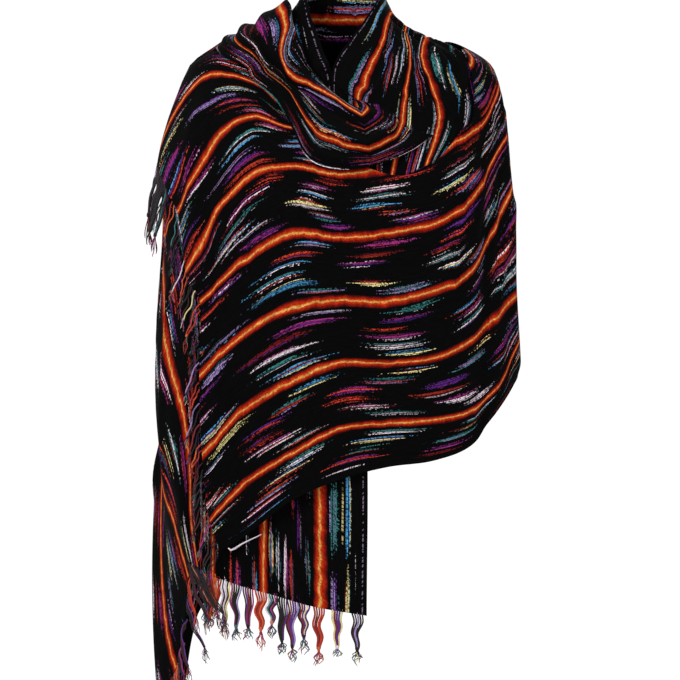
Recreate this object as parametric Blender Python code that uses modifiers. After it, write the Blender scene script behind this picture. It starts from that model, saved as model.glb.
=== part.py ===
"""A rebozo: one long woven cloth with fringed ends, as it hangs round the shoulders.

Units are metres and +Z is up. The front faces -Y, and the origin lies between the shoulders, level with their tips.
A place on the cloth is given by a turn round the figure in degrees, 0 at the front, 90 at the side on the
right of a person who looks at the front, and 180 at the back, and by a height. The cloth's width is counted in its
woven stripes, from the lowest at 1 to the one beside the neck at 9.
"""

import math

import bmesh
import bpy
import numpy as np

# Thickness of the cloth
WALL = 0.002

# The two selvedges, counted in stripes
HEM = 0.18
NECK_EDGE = 9.5

# How far the stretches lie from the figure, each over the one before
FAR_OUT = -0.004
NECK_OUT = 0.0035
WRAP_OUT = 0.0065
SHOULDER_OUT = 0.002
COWL_OUT = 0.0125
COWL_SWELL = 0.010

# Where the wrap and the back meet, behind the left shoulder
SHOULDER_SEAM = 102.0

# Fringe: length, width and depth of a tassel, and the strip that its root is woven into
TASSEL_LENGTH = 0.070
TASSEL_WIDTH = 0.0034
TASSEL_DEPTH = 0.0020
STRIP_WIDTH = 0.003
STRIP_GAP = 0.0007
LAYER = 0.0035

# A general figure with its arms at its sides, as half widths and depths at each height
FIGURE = (
    # height, right, left, front, back
    (-0.950, 0.238, 0.246, 0.128, 0.112),
    (-0.600, 0.242, 0.251, 0.136, 0.112),
    (-0.400, 0.242, 0.248, 0.143, 0.114),
    (-0.300, 0.237, 0.244, 0.146, 0.122),
    (-0.200, 0.236, 0.243, 0.142, 0.128),
    (-0.140, 0.230, 0.244, 0.132, 0.126),
    (-0.080, 0.225, 0.231, 0.114, 0.118),
    (-0.040, 0.218, 0.215, 0.100, 0.110),
    (-0.015, 0.209, 0.205, 0.091, 0.102),
    (0.000, 0.200, 0.196, 0.086, 0.098),
    (0.020, 0.168, 0.160, 0.076, 0.090),
    (0.040, 0.120, 0.120, 0.067, 0.082),
    (0.060, 0.086, 0.092, 0.060, 0.074),
    (0.090, 0.065, 0.062, 0.054, 0.066),
    (0.110, 0.056, 0.052, 0.050, 0.062),
    (0.140, 0.050, 0.046, 0.046, 0.058),
)
# How far a level section of the figure goes from an ellipse towards a rounded oblong
SQUARE = 0.05

# The wrap: the height of each stripe at each turn, from the right arm's back to the left arm's back
WRAP_TURNS = (-118, -90, -71, -54, -39, -25, -12, 0, 12, 25, 39, 54, 71, 90, 102)
WRAP_HEIGHTS = {
    HEM: (-0.94, -0.86, -0.79, -0.72, -0.664, -0.630, -0.582, -0.554, -0.538, -0.530, -0.509, -0.456, -0.416,
          -0.396, -0.395),
    1: (-0.89, -0.81, -0.75, -0.686, -0.620, -0.561, -0.520, -0.487, -0.479, -0.476, -0.463, -0.425, -0.350,
        -0.325, -0.325),
    2: (-0.76, -0.68, -0.63, -0.572, -0.521, -0.462, -0.425, -0.402, -0.402, -0.395, -0.371, -0.336, -0.300,
        -0.268, -0.255),
    3: (-0.62, -0.56, -0.52, -0.465, -0.412, -0.361, -0.326, -0.319, -0.321, -0.308, -0.282, -0.221, -0.180,
        -0.155, -0.150),
    4: (-0.48, -0.43, -0.40, -0.360, -0.314, -0.263, -0.232, -0.237, -0.232, -0.221, -0.190, -0.141, -0.100,
        -0.068, -0.065),
    5: (-0.41, -0.38, -0.345, -0.300, -0.248, -0.161, -0.144, -0.155, -0.148, -0.135, -0.104, -0.073, -0.004,
        0.016, 0.010),
    6: (-0.32, -0.29, -0.25, -0.185, -0.105, -0.077, -0.093, -0.078, -0.068, -0.055, -0.025, 0.000, 0.030,
        0.050, 0.045),
    7: (-0.20, -0.14, -0.075, -0.024, -0.019, -0.035, -0.070, -0.030, -0.010, 0.000, 0.020, 0.040, 0.060,
        0.070, 0.070),
    7.7: (-0.11, 0.014, 0.013, 0.010, 0.006, -0.006, -0.035, 0.000, 0.020, 0.030, 0.045, 0.060, 0.075,
          0.085, 0.085),
}
# The wrap's fringed end: the turn at which each stripe ends
WRAP_END = {HEM: -33, 1: -36.5, 2: -39.5, 3: -41, 4: -41, 5: -48, 6: -57, 7: -88, 7.7: -112}
# The wrap's upper border, a fold: the stripe that it runs along at each turn
WRAP_TOP = {-118: 7.6, -45: 7.7, -28: 7.45, -19: 7.0, -12: 6.4, -6: 5.9, 0: 5.5, 6: 5.15, 39: 5.15, 45.7: 5.33,
            48: 5.7, 50: 6.03, 54: 6.15, 71: 5.65, 90: 5.34, 102: 5.3}

# The middle and the far half of the cloth: each stripe's places, as turn and height, from the seam behind the
# left shoulder across the back to the right shoulder, the sixth place, and on down to the fringed end
FAR_HALF = {
    HEM: ((102.4, -0.395), (128, -0.435), (152, -0.490), (170, -0.540), (184, -0.585), (198, -0.635),
          (210, -0.680), (221, -0.725), (230, -0.780), (236, -0.850), (240, -0.920), (243, -0.985)),
    1: ((102.4, -0.325), (131, -0.368), (157, -0.422), (176, -0.470), (191, -0.515), (206, -0.565),
        (219, -0.612), (230, -0.665), (239, -0.730), (245, -0.805), (249, -0.885), (252, -0.960)),
    2: ((102.4, -0.255), (136, -0.300), (166, -0.350), (188, -0.395), (205, -0.440), (221, -0.495),
        (233, -0.555), (243, -0.620), (251, -0.695), (257, -0.775), (262, -0.855), (266, -0.925)),
    3: ((102.4, -0.150), (140, -0.225), (175, -0.285), (200, -0.330), (219, -0.375), (236, -0.440),
        (247, -0.505), (256, -0.580), (264, -0.660), (271, -0.740), (277, -0.815), (282, -0.875)),
    4: ((102.4, -0.065), (140, -0.165), (179, -0.228), (208, -0.268), (230, -0.315), (246, -0.385),
        (256, -0.465), (265, -0.550), (274, -0.635), (283, -0.705), (292, -0.765), (301, -0.812)),
    5: ((102.4, 0.010), (140, -0.110), (180, -0.175), (212, -0.205), (238, -0.235), (254, -0.330),
        (265, -0.430), (277, -0.520), (290, -0.575), (300, -0.605), (306, -0.640), (312, -0.685)),
    6: ((102.4, 0.030), (140, -0.080), (180, -0.125), (215, -0.125), (245, -0.120), (270, -0.190),
        (284, -0.295), (296, -0.385), (308, -0.455), (313, -0.530), (314, -0.605), (317, -0.672)),
    7: ((102.4, 0.045), (140, -0.040), (180, -0.065), (220, -0.048), (258, 0.005), (282, -0.010),
        (300, -0.060), (311, -0.140), (318, -0.240), (322, -0.380), (323, -0.530), (323, -0.685)),
    8: ((102.4, 0.062), (140, 0.015), (180, 0.000), (220, 0.015), (262, 0.045), (290, 0.025),
        (312, -0.020), (325, -0.080), (333, -0.170), (338, -0.320), (340, -0.520), (340, -0.705)),
    9: ((102.4, 0.085), (140, 0.080), (180, 0.078), (220, 0.080), (262, 0.080), (300, 0.060),
        (325, 0.020), (340, -0.030), (348, -0.110), (352, -0.270), (354.5, -0.500), (355, -0.725)),
    NECK_EDGE: ((102.4, 0.108), (140, 0.122), (180, 0.128), (220, 0.122), (262, 0.108), (311, 0.095),
                (340, 0.060), (355, 0.010), (359, -0.060), (364, -0.250), (367, -0.500), (367, -0.735)),
}
# The place in those lists where the back ends and the two tails begin, and the stripe between the tails
TAIL_START = 4.0
TAIL_SPLIT = 6.5

# The upper part of the wrap from the left shoulder down into the V neck, as turn and height
NECK_FALL = {
    5.3: ((102, 0.026), (86, 0.031), (70, 0.022), (57, 0.012), (51, -0.004), (51, -0.026), (50, -0.055),
          (43, -0.094), (34, -0.126)),
    6: ((102, 0.032), (74, 0.030), (54, 0.020), (45, 0.003), (42, -0.018), (42, -0.038), (42, -0.060),
        (39, -0.092), (30, -0.134)),
    7: ((102, 0.045), (62, 0.038), (40, 0.026), (31, 0.012), (28, -0.002), (28.4, -0.024), (29.5, -0.050),
        (30, -0.082), (24.5, -0.142)),
    8: ((102, 0.062), (62, 0.055), (36, 0.034), (25.4, 0.010), (22, -0.014), (20.2, -0.034), (18.8, -0.056),
        (17.6, -0.088), (14, -0.160)),
    9: ((102, 0.085), (66, 0.076), (36, 0.055), (18.3, 0.027), (11.5, 0.004), (8.6, -0.014), (7, -0.032),
        (5, -0.054), (6, -0.140)),
    NECK_EDGE: ((102, 0.108), (75, 0.105), (48.7, 0.095), (27, 0.0715), (10, 0.045), (3, 0.025), (-1, 0.004),
                (-2.4, -0.022), (-2.0, -0.100)),
}

# The wrap's upper part from its end at the back over the right shoulder into the V neck, as turn and height
COWL = {
    7: ((-122, -0.115), (-107, -0.045), (-90, 0.019), (-38.4, -0.003), (-28, -0.029), (-18.8, -0.056),
        (-12.6, -0.096), (-9, -0.130), (-5, -0.145), (1.3, -0.150), (8, -0.146)),
    8: ((-136, -0.125), (-115, -0.035), (-90, 0.035), (-35.4, 0.0095), (-21.5, -0.023), (-15, -0.043),
        (-11.6, -0.062), (-5.4, -0.105), (-1.7, -0.1145), (2, -0.122), (7.8, -0.1265)),
    9: ((-157, -0.110), (-130, 0.010), (-90, 0.060), (-42, 0.036), (-22, 0.002), (-14.3, -0.029),
        (-9, -0.040), (-4, -0.052), (-0.5, -0.062), (2.4, -0.072), (6, -0.082)),
    NECK_EDGE: ((-165, -0.090), (-136, 0.030), (-90, 0.083), (-50, 0.078), (-27, 0.045), (-14.6, 0.017),
                (-10, -0.008), (-6, -0.030), (-2, -0.047), (2, -0.061), (6, -0.071)),
}

# Ranges of each stretch along and across the cloth, and the cells that it is made of
TAIL_SEAM = 0.020
ALONG = {
    "chest_wrap": (0, 1),
    "shoulder_cowl": (0, 10),
    "neck_fall": (8, 0),
    "back_drape": (0, TAIL_START),
    "front_tail": (TAIL_START + TAIL_SEAM, 11),
    "side_tail": (TAIL_START + TAIL_SEAM, 11),
}
ACROSS = {
    "chest_wrap": (0, 1),
    "shoulder_cowl": (7, NECK_EDGE),
    "neck_fall": (5.3, NECK_EDGE),
    "back_drape": (HEM, NECK_EDGE),
    "front_tail": (TAIL_SPLIT + 0.008, NECK_EDGE),
    "side_tail": (HEM, TAIL_SPLIT - 0.008),
}
COLUMNS = {"chest_wrap": 32, "shoulder_cowl": 26, "neck_fall": 14, "back_drape": 18, "front_tail": 22, "side_tail": 18}
ROWS = {"chest_wrap": 22, "shoulder_cowl": 8, "neck_fall": 14, "back_drape": 18, "front_tail": 9, "side_tail": 16}

# Main folds of the wrap, as lines on it with a height that is positive for a ridge and negative for a trough
WRAP_FOLDS = (
    # from turn, from height, to turn, to height, half width, rise
    (62, -0.03, 66, -0.40, 0.018, 0.008),
    (50, -0.12, 44, -0.48, 0.020, -0.007),
    (-47, -0.08, -43, -0.36, 0.018, 0.006),
    (-36, -0.20, 22, -0.195, 0.014, 0.005),
    (-30, -0.26, 30, -0.38, 0.020, 0.004),
    (-26, -0.42, 34, -0.45, 0.018, 0.004),
)
# Hanging folds of the two tails, as the stripe that each runs along
TAIL_FOLDS = (
    # stripe, half width in stripes, rise
    (8.5, 0.45, -0.006),
    (7.3, 0.35, -0.006),
    (5.6, 0.35, 0.009),
    (4.4, 0.45, -0.008),
    (3.4, 0.40, 0.010),
    (2.3, 0.45, -0.008),
    (1.2, 0.40, 0.009),
)
# Folds that run down the back from the nape
BACK_FOLDS = (
    # stripe at the seam, stripe at the right shoulder, half width in stripes, rise
    (2.2, 2.6, 0.35, 0.007),
    (4.0, 4.3, 0.40, 0.009),
    (5.8, 6.2, 0.35, 0.008),
    (7.6, 7.8, 0.30, 0.007),
)

# Colours of the cloth's ground and of the fringe
GROUND = (0.012, 0.010, 0.014)
RUST = (0.42, 0.07, 0.02)
PLUM = (0.14, 0.04, 0.16)


def smooth(knots, values, at):
    """Read a smooth curve through the values at the knots. Values may hold a column for each place in at."""
    knots, values, at = np.asarray(knots, float), np.asarray(values, float), np.asarray(at, float)
    if values.ndim == 1:
        values = np.repeat(values[:, None], at.size, axis=1)
    step = np.diff(knots)[:, None]
    rise = np.diff(values, axis=0) / step
    slope = np.empty_like(values)
    slope[1:-1] = (rise[:-1] * step[1:] + rise[1:] * step[:-1]) / (step[1:] + step[:-1])
    slope[0], slope[-1] = rise[0], rise[-1]
    cell = np.clip(np.searchsorted(knots, at) - 1, 0, len(knots) - 2)
    place = np.arange(at.size)
    width = step[cell, 0]
    t = np.clip((at - knots[cell]) / width, 0, 1)
    low, high = values[cell, place], values[cell + 1, place]
    start, end = slope[cell, place] * width, slope[cell + 1, place] * width
    return low + t * (start + t * (3 * (high - low) - 2 * start - end + t * (2 * (low - high) + start + end)))


def figure(turn, height):
    """Points on the general figure."""
    heights, right, left, front, back = np.array(FIGURE).T
    angle = np.radians(turn)
    across = (np.sin(angle) + SQUARE * np.sin(3 * angle)) / (1 - SQUARE)
    deep = (np.cos(angle) - SQUARE * np.cos(3 * angle)) / (1 - SQUARE)
    half_width = np.where(across > 0, smooth(heights, right, height), smooth(heights, left, height))
    depth = np.where(deep > 0, smooth(heights, front, height), smooth(heights, back, height))
    return np.stack([across * half_width, -deep * depth, height], axis=1)


def over_figure(turn, height, out):
    """Points that far out from the general figure."""
    d_turn, d_height = 0.5, 0.002
    along = figure(turn + d_turn, height) - figure(turn - d_turn, height)
    up = figure(turn, height + d_height) - figure(turn, height - d_height)
    normal = np.cross(along, up)
    normal /= np.linalg.norm(normal, axis=1)[:, None]
    return figure(turn, height) + normal * np.asarray(out)[:, None]


def ease(low, high, value):
    """0 below low and 1 above high, smoothly between."""
    t = np.clip((value - low) / (high - low), 0, 1)
    return t * t * (3 - 2 * t)


def fold_relief(folds, turn, height):
    """How far the folds lift the cloth at each place."""
    arc = 0.0042  # metres of cloth to a degree of turn
    relief = np.zeros_like(turn)
    for turn_a, height_a, turn_b, height_b, half_width, rise in folds:
        along = np.array([(turn_b - turn_a) * arc, height_b - height_a])
        away = np.stack([(turn - turn_a) * arc, height - height_a], axis=1)
        share = away @ along / (along @ along)
        nearest = np.clip(share, 0, 1)[:, None] * along
        distance = np.linalg.norm(away - nearest, axis=1)
        relief += rise * np.exp(-((distance / half_width) ** 2))
    return relief


def wrap_heights(turn, stripe):
    """The wrap's height at each turn and stripe."""
    rows = [smooth(WRAP_TURNS, heights, turn) for heights in WRAP_HEIGHTS.values()]
    return smooth(list(WRAP_HEIGHTS), np.array(rows), stripe)


def wrap_points(along, across):
    """Points of the wrap. Along goes from its fringed end to the seam, across from the hem to the fold."""
    stripe = HEM + across * (7.7 - HEM)
    end = smooth(list(WRAP_END), list(WRAP_END.values()), stripe)
    turn = end + along * (SHOULDER_SEAM - end)
    top = smooth(list(WRAP_TOP), list(WRAP_TOP.values()), turn)
    stripe = HEM + across * (top - HEM)
    height = wrap_heights(turn, stripe)
    alone = ease(60, 85, turn) * ease(4.9, 4.3, stripe)
    tips = SHOULDER_OUT * ease(-0.09, -0.04, height) * ease(30, 50, abs(turn))
    relief = fold_relief(WRAP_FOLDS, turn, height)
    return over_figure(turn, height, WRAP_OUT * (1 - alone) + tips + relief)


def woven(rows, along, across):
    """Turn and height at each place of a stretch whose stripes are lists of places."""
    stations = np.arange(len(next(iter(rows.values()))))
    turns = [smooth(stations, [place[0] for place in row], along) for row in rows.values()]
    heights = [smooth(stations, [place[1] for place in row], along) for row in rows.values()]
    return smooth(list(rows), np.array(turns), across), smooth(list(rows), np.array(heights), across)


def far_half_points(along, across):
    """Points of the middle and the far half. Along counts the places in the lists, across the stripes."""
    turn, height = woven(FAR_HALF, along, across)
    hanging = ease(TAIL_START, TAIL_START + 2, along)
    relief = np.zeros_like(turn)
    for stripe, half_width, rise in TAIL_FOLDS:
        relief += hanging * rise * np.exp(-(((across - stripe) / half_width) ** 2))
    on_back = ease(0, 1.5, along) * (1 - hanging)
    for stripe_a, stripe_b, half_width, rise in BACK_FOLDS:
        stripe = stripe_a + (stripe_b - stripe_a) * along / TAIL_START
        relief += on_back * rise * np.exp(-(((across - stripe) / half_width) ** 2))
    return over_figure(turn, height, FAR_OUT * ease(1, 5, along) + relief)


def neck_fall_points(along, across):
    """Points of the stretch from the left shoulder into the V neck."""
    turn, height = woven(NECK_FALL, along, across)
    return over_figure(turn, height, NECK_OUT * ease(70, 30, turn))


def cowl_points(along, across):
    """Points of the stretch that goes over the right shoulder. It swells between its two borders."""
    turn, height = woven(COWL, along, across)
    middle = np.sin(math.pi * np.clip((across - 7) / (NECK_EDGE - 7), 0, 1))
    return over_figure(turn, height, COWL_OUT + COWL_SWELL * middle * ease(0, 4, along))


def collection():
    """The collection that holds the shawl."""
    found = bpy.data.collections.get("rebozo shawl")
    if found is None:
        found = bpy.data.collections.new("rebozo shawl")
        bpy.context.scene.collection.children.link(found)
    return found


def material(name, colour):
    """A plain cloth material."""
    found = bpy.data.materials.new(name)
    found.use_nodes = True
    shader = found.node_tree.nodes["Principled BSDF"]
    shader.inputs["Base Color"].default_value = (*colour, 1)
    shader.inputs["Roughness"].default_value = 0.85
    shader.inputs["Metallic"].default_value = 0.0
    return found


def finish(name, mesh, colour):
    """An object of the mesh, in the shawl's collection."""
    mesh.materials.append(material(name, colour))
    mesh.shade_smooth()
    thing = bpy.data.objects.new(name, mesh)
    collection().objects.link(thing)
    return thing


def stretch(name, surface, along, across, columns, rows):
    """A stretch of cloth: the surface over the given ranges, with a wall on its outer side."""
    sheet = bmesh.new()
    bmesh.ops.create_grid(sheet, x_segments=columns, y_segments=rows, size=1)
    flat = np.array([(v.co.x, v.co.y) for v in sheet.verts])
    share = (flat + 1) / 2
    points = surface(along[0] + share[:, 0] * (along[1] - along[0]), across[0] + share[:, 1] * (across[1] - across[0]))
    for vertex, point in zip(sheet.verts, points):
        vertex.co = point
    mesh = bpy.data.meshes.new(name)
    sheet.to_mesh(mesh)
    sheet.free()
    thing = finish(name, mesh, GROUND)
    wall = thing.modifiers.new("wall", "SOLIDIFY")
    wall.thickness = WALL
    wall.offset = 1
    return thing


def unit(vector):
    """The vector's direction."""
    return vector / np.linalg.norm(vector)


def fringe(name, place, surface, count, lean, layers, stand, colour):
    """A fringe along an edge of the cloth: a narrow woven strip with a tassel rooted at every other cell.

    Place gives the edge's turn, height and distance from the figure for a share from 0 to 1, and surface the
    points of the cloth's edge and of a line just inside it. A tassel leans by lean degrees of turn for each metre
    that it drops, lies in front of its neighbours in turn over that many layers, and stands off the figure.
    """
    root = 0.14 / count
    middles = (np.arange(count) + 0.5) / count
    shares = np.sort(np.concatenate([[0.002, 0.998], middles - root, middles + root]))
    ends, insides = surface(shares)
    sides = np.gradient(ends, axis=0)
    cloth = bmesh.new()
    rings = []
    for end, within, side in zip(ends, insides, sides):
        away = unit(end - within)
        normal = unit(np.cross(side, away))
        if normal @ np.array([end[0], end[1], 0.05]) < 0:
            normal = -normal
        near, far = end + away * STRIP_GAP, end + away * (STRIP_GAP + STRIP_WIDTH)
        corners = (near, near + normal * WALL, far + normal * WALL, far)
        rings.append([cloth.verts.new(corner) for corner in corners])
    for before, after in zip(rings, rings[1:]):
        for i in range(4):
            cloth.faces.new((before[i], after[i], after[(i + 1) % 4], before[(i + 1) % 4]))
    cloth.faces.new(rings[0])
    cloth.faces.new(reversed(rings[-1]))
    turns, heights, outs = place(middles)
    for k in range(count):
        before, after = rings[1 + 2 * k], rings[2 + 2 * k]
        root_corners = [before[2], after[2], after[3], before[3]]
        rooted = cloth.faces.get(root_corners)
        length = TASSEL_LENGTH * (1 + 0.14 * math.sin(2.4 * k) + 0.08 * math.sin(5.1 * k))
        sway = lean * (1 + 0.2 * math.sin(3.7 * k))
        drops = np.array([0.10, 0.45, 1.0]) * length
        lift = outs[k] + stand * np.array([0.3, 0.8, 1.0]) + LAYER * (k % layers) * np.array([0.4, 1, 1])
        path = over_figure(turns[k] + sway * drops, heights[k] - drops, lift)
        start = np.array(rooted.calc_center_median())
        path[0] = start * 0.55 + path[0] * 0.45 + unit(ends[1 + 2 * k] - insides[1 + 2 * k]) * 0.003
        line = np.vstack([start, path])
        side_before = np.array(after[2].co - before[2].co)
        cloth.faces.remove(rooted)
        for j in range(1, 4):
            heading = unit(line[min(j + 1, 3)] - line[j - 1])
            side = side_before - heading * (side_before @ heading)
            side = unit(side)
            front = np.cross(side, heading)
            taper = 0.75 if j == 3 else 1.0
            half_side, half_front = side * TASSEL_WIDTH / 2 * taper, front * TASSEL_DEPTH / 2 * taper
            outer = np.array(root_corners[0].co + root_corners[1].co - root_corners[2].co - root_corners[3].co)
            if half_front @ outer < 0:
                half_front = -half_front
            corners = (half_front - half_side, half_front + half_side, half_side - half_front, -half_side - half_front)
            ring = [cloth.verts.new(line[j] + corner) for corner in corners]
            for i in range(4):
                cloth.faces.new((root_corners[i], root_corners[(i + 1) % 4], ring[(i + 1) % 4], ring[i]))
            root_corners = ring
            side_before = side
        cloth.faces.new(root_corners)
    bmesh.ops.recalc_face_normals(cloth, faces=cloth.faces)
    mesh = bpy.data.meshes.new(name)
    cloth.to_mesh(mesh)
    cloth.free()
    return finish(name, mesh, colour)


def build_cloth():
    """The six stretches of the cloth."""
    surfaces = {
        "chest_wrap": wrap_points,
        "shoulder_cowl": cowl_points,
        "neck_fall": neck_fall_points,
        "back_drape": far_half_points,
        "front_tail": far_half_points,
        "side_tail": far_half_points,
    }
    for name, surface in surfaces.items():
        stretch(name, surface, ALONG[name], ACROSS[name], COLUMNS[name], ROWS[name])


def straight_between(surface, along, first, last, rows, at):
    """Points on the straight edges that join the rows of a stretch, at a place along it."""
    across = np.linspace(first, last, rows + 1)
    points = surface(np.full_like(across, along), across)
    return np.stack([np.interp(at, across, points[:, axis]) for axis in range(3)], axis=1)


def far_end(tail, low, high):
    """The place and the surface of a tail's end between two stripes."""
    def place(share):
        turn, height = woven(FAR_HALF, np.full_like(share, 11), low + share * (high - low))
        return turn, height, np.full_like(share, FAR_OUT)

    def surface(share):
        stripe = low + share * (high - low)
        return (straight_between(far_half_points, 11, *ACROSS[tail], ROWS[tail], stripe),
                straight_between(far_half_points, 10.9, *ACROSS[tail], ROWS[tail], stripe))
    return place, surface


def wrap_end(low, high):
    """The place and the surface of the wrap's end between two stripes."""
    def place(share):
        stripe = low + share * (high - low)
        turn = smooth(list(WRAP_END), list(WRAP_END.values()), stripe)
        return turn, wrap_heights(turn, stripe), np.full_like(share, WRAP_OUT)

    def surface(share):
        across = (low + share * (high - low) - HEM) / (7.7 - HEM)
        return (straight_between(wrap_points, 0, 0, 1, ROWS["chest_wrap"], across),
                straight_between(wrap_points, 0.01, 0, 1, ROWS["chest_wrap"], across))
    return place, surface


def cowl_end():
    """The place and the surface of the end that hangs behind the right shoulder."""
    low, high = ACROSS["shoulder_cowl"]

    def place(share):
        turn, height = woven(COWL, np.zeros_like(share), low + share * (high - low))
        return turn, height, np.full_like(share, COWL_OUT)

    def surface(share):
        stripe = low + share * (high - low)
        return (straight_between(cowl_points, 0, low, high, ROWS["shoulder_cowl"], stripe),
                straight_between(cowl_points, 0.1, low, high, ROWS["shoulder_cowl"], stripe))
    return place, surface


def build_fringes():
    """A fringe on each stretch of the two ends."""
    fringe("wrap_fringe", *wrap_end(HEM, 6.9), 42, -110, 3, 0.006, RUST)
    fringe("shoulder_fringe", *cowl_end(), 14, 0, 1, 0.008, RUST)
    fringe("front_fringe", *far_end("front_tail", TAIL_SPLIT + 0.1, NECK_EDGE), 17, 0, 1, 0.0, PLUM)
    fringe("side_fringe", *far_end("side_tail", 2.6, TAIL_SPLIT - 0.15), 24, 150, 3, 0.006, PLUM)
    fringe("back_fringe", *far_end("side_tail", HEM, 2.56), 15, 0, 1, 0.0, PLUM)


for leftover in list(bpy.data.objects):
    bpy.data.objects.remove(leftover, do_unlink=True)
build_cloth()
build_fringes()
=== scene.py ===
# %% [markdown]
# # A rebozo, as it is worn
#
# A rebozo is one long woven cloth with knotted ends. This lesson drapes it round a pair of shoulders: the
# cloth is worked out as curved sheets over a plain figure, dyed and woven by shader nodes, and fringed cord
# by cord.
#
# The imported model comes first. Its solids are the frame, and each sheet made here takes the place of some
# of them.

# %% Load the frame
import math

import bmesh
import bpy
import numpy as np
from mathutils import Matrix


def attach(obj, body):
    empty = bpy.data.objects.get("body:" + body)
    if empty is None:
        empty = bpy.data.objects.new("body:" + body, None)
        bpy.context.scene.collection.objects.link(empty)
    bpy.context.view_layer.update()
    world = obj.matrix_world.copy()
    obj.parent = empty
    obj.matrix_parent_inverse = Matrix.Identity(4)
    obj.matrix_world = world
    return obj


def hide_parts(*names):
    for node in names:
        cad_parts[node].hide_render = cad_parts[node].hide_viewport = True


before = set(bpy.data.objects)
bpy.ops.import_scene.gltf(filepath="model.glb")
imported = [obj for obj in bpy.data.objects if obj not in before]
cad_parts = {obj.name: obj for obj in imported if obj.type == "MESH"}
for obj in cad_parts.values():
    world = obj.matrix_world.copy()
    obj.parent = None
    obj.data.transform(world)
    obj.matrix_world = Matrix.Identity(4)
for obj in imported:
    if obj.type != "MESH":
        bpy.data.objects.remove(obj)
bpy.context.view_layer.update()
print("solids:", ", ".join(sorted(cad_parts)))


# %% Add an object, a material
def add_object(name, data):
    """A new object in the scene, with its data."""
    thing = bpy.data.objects.new(name, data)
    bpy.context.scene.collection.objects.link(thing)
    return thing


def select_only(*things):
    """Selects these objects and no others, and makes the first of them active."""
    for other in bpy.context.selected_objects:
        other.select_set(False)
    for thing in reversed(things):
        thing.select_set(True)
        bpy.context.view_layer.objects.active = thing


def new_material(name, looks):
    """A material, its node tree, and its Principled shader with the given looks."""
    made = bpy.data.materials.new(name)
    made.use_nodes = True
    surface = made.node_tree.nodes["Principled BSDF"]
    for label, value in looks.items():
        surface.inputs[label].default_value = value
    return made, made.node_tree, surface


# %% [markdown]
# ## Camera, floor and light
#
# The shawl is seen from straight ahead, level with its middle, from 3.2 m away. At that distance a long
# lens is needed, and its angle comes from the width that the picture covers.

# %% Place the camera
VIEW_WIDTH = 0.935
VIEW_DISTANCE = 3.2
VIEW_HEIGHT = -0.371
SENSOR = 36.0

camera = add_object("view from the front", bpy.data.cameras.new("view from the front"))
camera.data.sensor_width = SENSOR
camera.data.lens = SENSOR * VIEW_DISTANCE / VIEW_WIDTH
camera.location = (0.0, -VIEW_DISTANCE, VIEW_HEIGHT)
camera.rotation_euler = (math.radians(90), 0.0, 0.0)
bpy.context.scene.camera = camera
print("lens", round(camera.data.lens), "mm")

# %% [markdown]
# A plain pale floor lies well below the fringe, where a wearer would stand. Black cloth gives little light
# back, so its folds only show where a large soft light grazes them: one from the upper left, a wide weaker
# one from the right, and one behind to part the edges from the background.

# %% Add the floor
FLOOR_HEIGHT = -1.42
FLOOR_GLOW = 0.78  # for the camera alone, so that the floor is as pale as the backdrop

select_only()
bpy.ops.mesh.primitive_circle_add(vertices=96, radius=60.0, fill_type="NGON", location=(0, 0, FLOOR_HEIGHT))
floor = bpy.context.object
floor.name = "pale_floor"
bpy.ops.object.transform_apply(location=True, rotation=False, scale=False)
paint, tree, shader = new_material("pale floor paint", {
    "Base Color": (0.83, 0.83, 0.82, 1), "Roughness": 0.7, "Emission Color": (0.9, 0.9, 0.89, 1)})
seen = tree.nodes.new("ShaderNodeLightPath")
glow = tree.nodes.new("ShaderNodeMath")
glow.operation = "MULTIPLY"
glow.inputs[1].default_value = FLOOR_GLOW
tree.links.new(seen.outputs["Is Camera Ray"], glow.inputs[0])
tree.links.new(glow.outputs[0], shader.inputs["Emission Strength"])
floor.data.materials.append(paint)
print("floor at", FLOOR_HEIGHT, "m")


# %% Add the lights and the backdrop
def soft_light(name, place, target, size, watts):
    """A square soft light at a place, turned towards a target."""
    lamp = bpy.data.lights.new(name, "AREA")
    lamp.shape = "SQUARE"
    lamp.size = size
    lamp.energy = watts
    thing = add_object(name, lamp)
    x, y, z = np.array(target) - np.array(place)
    thing.location = place
    thing.rotation_euler = (math.atan2(math.hypot(x, y), -z), 0.0, math.atan2(y, x) - math.pi / 2)


MIDDLE = (0.0, 0.0, -0.35)
ROOM_LIGHT = 0.42
BACKDROP_LIGHT = 1.06

soft_light("light upper left", (-1.7, -2.3, 1.5), MIDDLE, 1.4, 75)
soft_light("light right", (2.3, -1.6, 0.4), MIDDLE, 2.0, 22)
soft_light("light behind", (0.8, 2.4, 1.2), MIDDLE, 1.6, 40)

world = bpy.data.worlds.new("pale room")
world.use_nodes = True
tree = world.node_tree
brightness = tree.nodes.new("ShaderNodeMapRange")
brightness.inputs["To Min"].default_value = ROOM_LIGHT
brightness.inputs["To Max"].default_value = BACKDROP_LIGHT
tree.links.new(tree.nodes.new("ShaderNodeLightPath").outputs["Is Camera Ray"], brightness.inputs["Value"])
backdrop = tree.nodes["Background"]
backdrop.inputs["Color"].default_value = (0.97, 0.97, 0.97, 1)
tree.links.new(brightness.outputs["Result"], backdrop.inputs["Strength"])
bpy.context.scene.world = world
bpy.context.scene.view_settings.view_transform = "Standard"
bpy.context.scene.view_settings.look = "None"
print(len(bpy.data.lights), "lights and a pale backdrop")

# %% [markdown]
# ## Where the cloth lies
#
# Drapery could be simulated, but a shawl that is thrown round the body and tucked over itself has one
# certain shape, and a simulation would find another. So its stripes, which run the whole length of the
# cloth, are followed one by one as lines on a plain figure, and smooth curves fill in the cloth between
# them.
#
# A place is given by a turn round the figure in degrees, 0 at the front and positive towards the left arm,
# and a height. The cloth's width is counted in its stripes, from 1 near the hem to 9 near the neck.

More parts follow.
